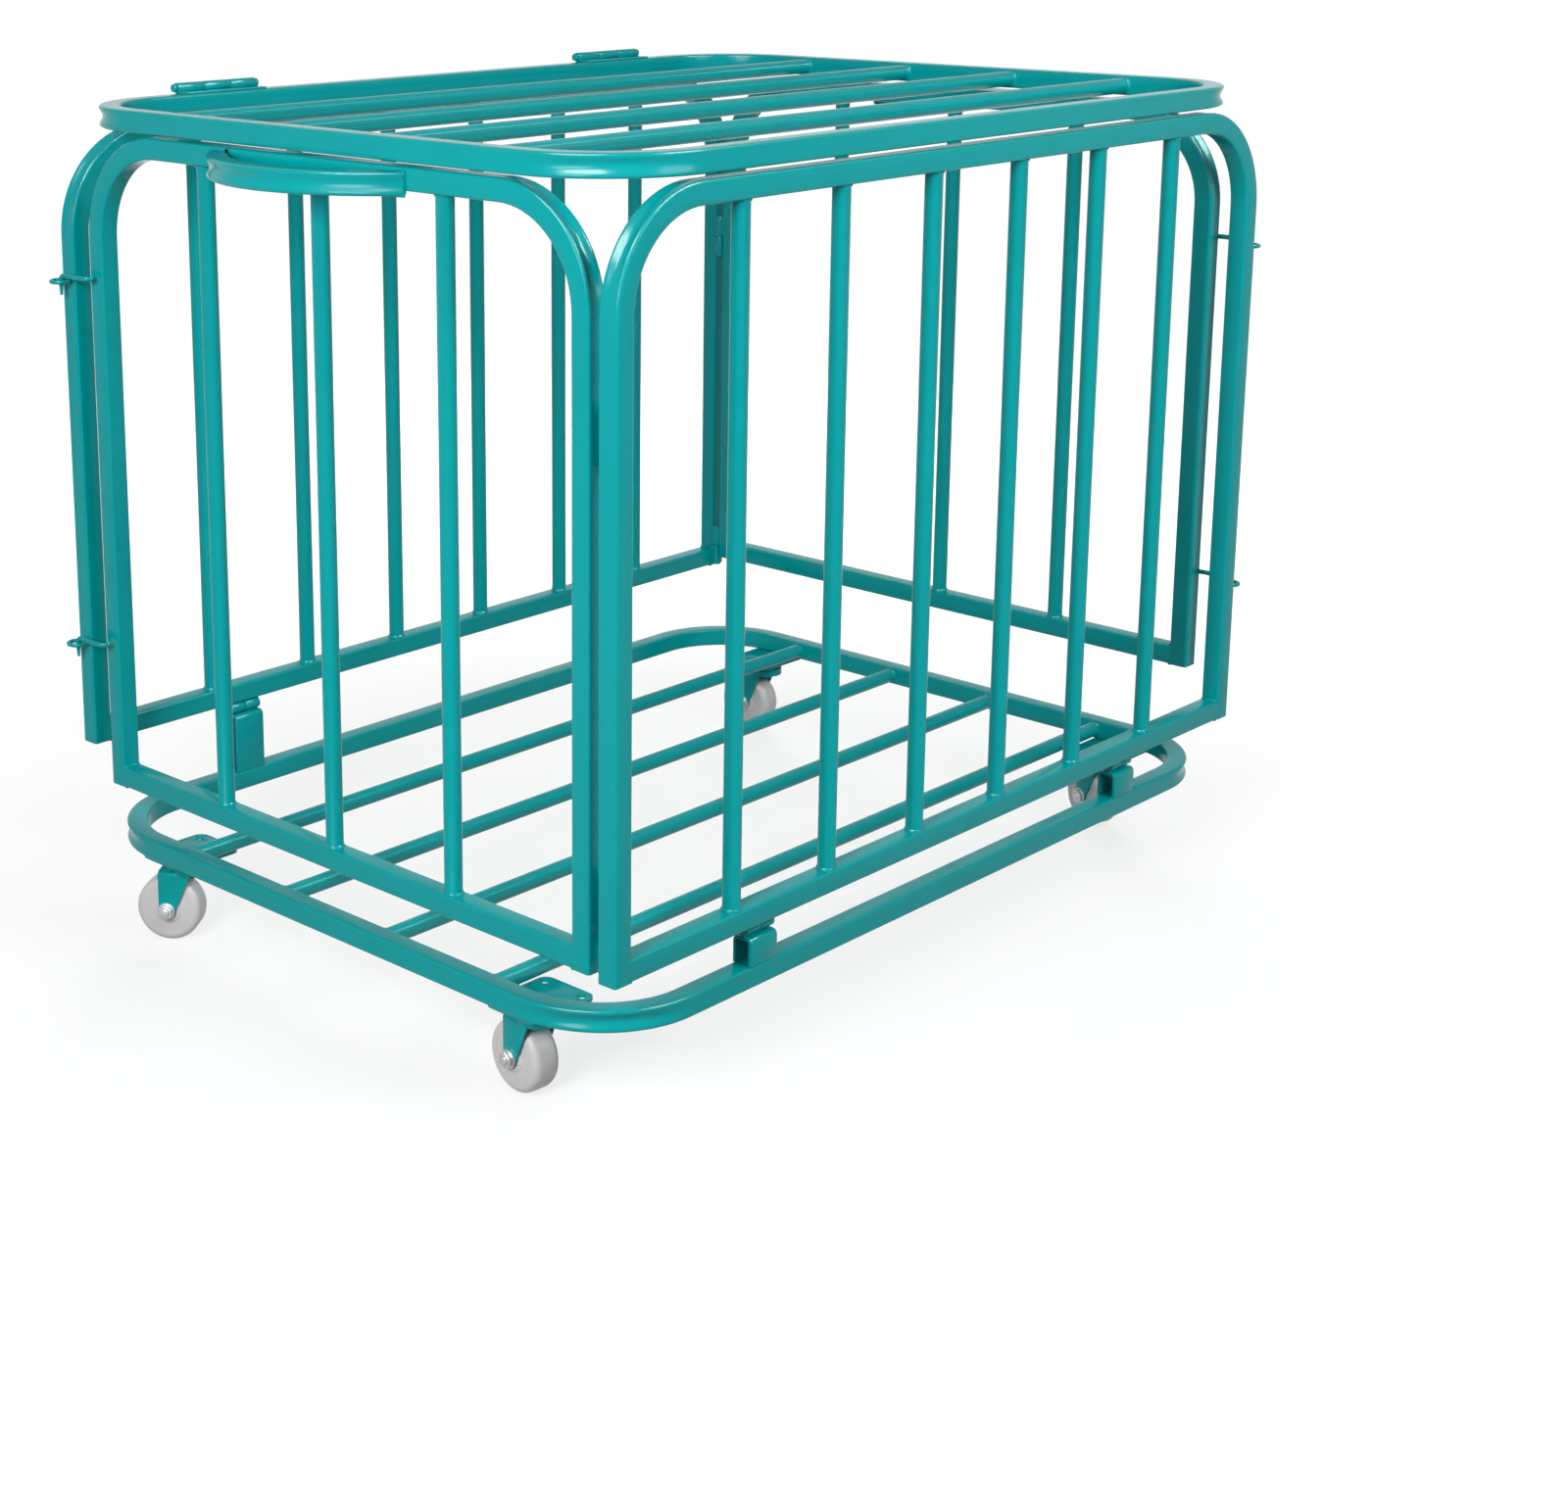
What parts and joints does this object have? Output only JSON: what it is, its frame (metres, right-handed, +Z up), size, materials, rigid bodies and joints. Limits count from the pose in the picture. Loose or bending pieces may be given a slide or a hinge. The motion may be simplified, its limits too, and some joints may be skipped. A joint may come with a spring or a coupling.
{
  "type": "ball cart",
  "caption": "Folding wheeled cage cart for sports balls: bar panels of square tube, hinged lid and ends, swivel casters.",
  "frame": {"origin": "middle of the whole cart on the floor that the wheels stand on", "axes": "+X along the cart toward the far end panel, +Y across it toward the lid hinges, +Z up"},
  "size_m": [1.058, 0.726, 0.822],
  "materials": {
    "teal_paint": "gloss teal powder coat on welded steel tube and sheet",
    "zinc": "bright zinc plated bolts and nuts",
    "wheel_nylon": "light grey moulded nylon"
  },
  "bodies": {
    "base": {"base_ring": "teal_paint", "floor_bar_1": "teal_paint", "floor_bar_2": "teal_paint", "floor_bar_3": "teal_paint", "floor_bar_4": "teal_paint", "front_bracket_near": "teal_paint", "front_bracket_far": "teal_paint", "rear_bracket_near": "teal_paint", "rear_bracket_far": "teal_paint", "caster_plate_front_near": "teal_paint", "caster_plate_front_far": "teal_paint", "caster_plate_rear_near": "teal_paint", "caster_plate_rear_far": "teal_paint", "front_panel_frame": "teal_paint", "front_panel_bar_1": "teal_paint", "front_panel_bar_2": "teal_paint", "front_panel_bar_3": "teal_paint", "front_panel_bar_4": "teal_paint", "front_panel_bar_5": "teal_paint", "front_panel_bar_6": "teal_paint", "rear_panel_frame": "teal_paint", "rear_panel_bar_1": "teal_paint", "rear_panel_bar_2": "teal_paint", "rear_panel_bar_3": "teal_paint", "rear_panel_bar_4": "teal_paint", "rear_panel_bar_5": "teal_paint", "rear_panel_bar_6": "teal_paint", "lid_hinge_pin_near": "teal_paint", "lid_hinge_pin_far": "teal_paint"},
    "lid": {"lid_frame": "teal_paint", "lid_bar_1": "teal_paint", "lid_bar_2": "teal_paint", "lid_bar_3": "teal_paint", "lid_bar_4": "teal_paint"},
    "near_end": {"near_end_frame": "teal_paint", "near_end_bar_1": "teal_paint", "near_end_bar_2": "teal_paint", "near_end_bar_3": "teal_paint", "near_push_handle": "teal_paint"},
    "near_upper_hook_body": {"near_upper_hook": "teal_paint"},
    "near_lower_hook_body": {"near_lower_hook": "teal_paint"},
    "far_end": {"far_end_frame": "teal_paint", "far_end_bar_1": "teal_paint", "far_end_bar_2": "teal_paint", "far_end_bar_3": "teal_paint", "far_push_handle": "teal_paint"},
    "far_upper_hook_body": {"far_upper_hook": "teal_paint"},
    "far_lower_hook_body": {"far_lower_hook": "teal_paint"},
    "fork_front_near": {"caster_fork_front_near": "teal_paint", "caster_axle_front_near": "zinc"},
    "wheel_front_near": {"caster_wheel_front_near": "wheel_nylon"},
    "fork_front_far": {"caster_fork_front_far": "teal_paint", "caster_axle_front_far": "zinc"},
    "wheel_front_far": {"caster_wheel_front_far": "wheel_nylon"},
    "fork_rear_near": {"caster_fork_rear_near": "teal_paint", "caster_axle_rear_near": "zinc"},
    "wheel_rear_near": {"caster_wheel_rear_near": "wheel_nylon"},
    "fork_rear_far": {"caster_fork_rear_far": "teal_paint", "caster_axle_rear_far": "zinc"},
    "wheel_rear_far": {"caster_wheel_rear_far": "wheel_nylon"}
  },
  "joints": [
    {"name": "lid_hinge", "type": "hinge", "parent": "base", "child": "lid", "pos_m": [0, 0.358, 0.817], "axis": [-1, 0, 0], "range_deg": [0, 270]},
    {"name": "near_end_swing", "type": "hinge", "parent": "base", "child": "near_end", "pos_m": [-0.454, -0.336, 0.211], "axis": [0, 0, -1], "range_deg": [0, 90]},
    {"name": "far_end_swing", "type": "hinge", "parent": "base", "child": "far_end", "pos_m": [0.454, 0.33, 0.211], "axis": [0, 0, -1], "range_deg": [0, 90]},
    {"name": "near_lower_hook_lift", "type": "hinge", "parent": "near_end", "child": "near_lower_hook_body", "pos_m": [-0.469, 0.304, 0.295], "axis": [1, 0, 0], "range_deg": [0, 100]},
    {"name": "near_upper_hook_lift", "type": "hinge", "parent": "near_end", "child": "near_upper_hook_body", "pos_m": [-0.469, 0.304, 0.652], "axis": [1, 0, 0], "range_deg": [0, 100]},
    {"name": "far_lower_hook_lift", "type": "hinge", "parent": "far_end", "child": "far_lower_hook_body", "pos_m": [0.469, -0.31, 0.295], "axis": [-1, 0, 0], "range_deg": [0, 100]},
    {"name": "far_upper_hook_lift", "type": "hinge", "parent": "far_end", "child": "far_upper_hook_body", "pos_m": [0.469, -0.31, 0.652], "axis": [-1, 0, 0], "range_deg": [0, 100]},
    {"name": "swivel_front_near", "type": "hinge", "parent": "base", "child": "fork_front_near", "pos_m": [-0.438, -0.243, 0.08], "axis": [0, 0, 1], "continuous": true},
    {"name": "roll_front_near", "type": "hinge", "parent": "fork_front_near", "child": "wheel_front_near", "pos_m": [-0.4358, -0.22212, 0.0325], "axis": [-0.9945, 0.1045, 0], "continuous": true},
    {"name": "swivel_front_far", "type": "hinge", "parent": "base", "child": "fork_front_far", "pos_m": [0.438, -0.243, 0.08], "axis": [0, 0, 1], "continuous": true},
    {"name": "roll_front_far", "type": "hinge", "parent": "fork_front_far", "child": "wheel_front_far", "pos_m": [0.44587, -0.22353, 0.0325], "axis": [-0.9272, 0.3746, 0], "continuous": true},
    {"name": "swivel_rear_near", "type": "hinge", "parent": "base", "child": "fork_rear_near", "pos_m": [-0.438, 0.237, 0.08], "axis": [0, 0, 1], "continuous": true},
    {"name": "roll_rear_near", "type": "hinge", "parent": "fork_rear_near", "child": "wheel_rear_near", "pos_m": [-0.44974, 0.25441, 0.0325], "axis": [-0.829, -0.5592, 0], "continuous": true},
    {"name": "swivel_rear_far", "type": "hinge", "parent": "base", "child": "fork_rear_far", "pos_m": [0.438, 0.237, 0.08], "axis": [0, 0, 1], "continuous": true},
    {"name": "roll_rear_far", "type": "hinge", "parent": "fork_rear_far", "child": "wheel_rear_far", "pos_m": [0.4358, 0.25788, 0.0325], "axis": [-0.9945, -0.1045, 0], "continuous": true}
  ]
}
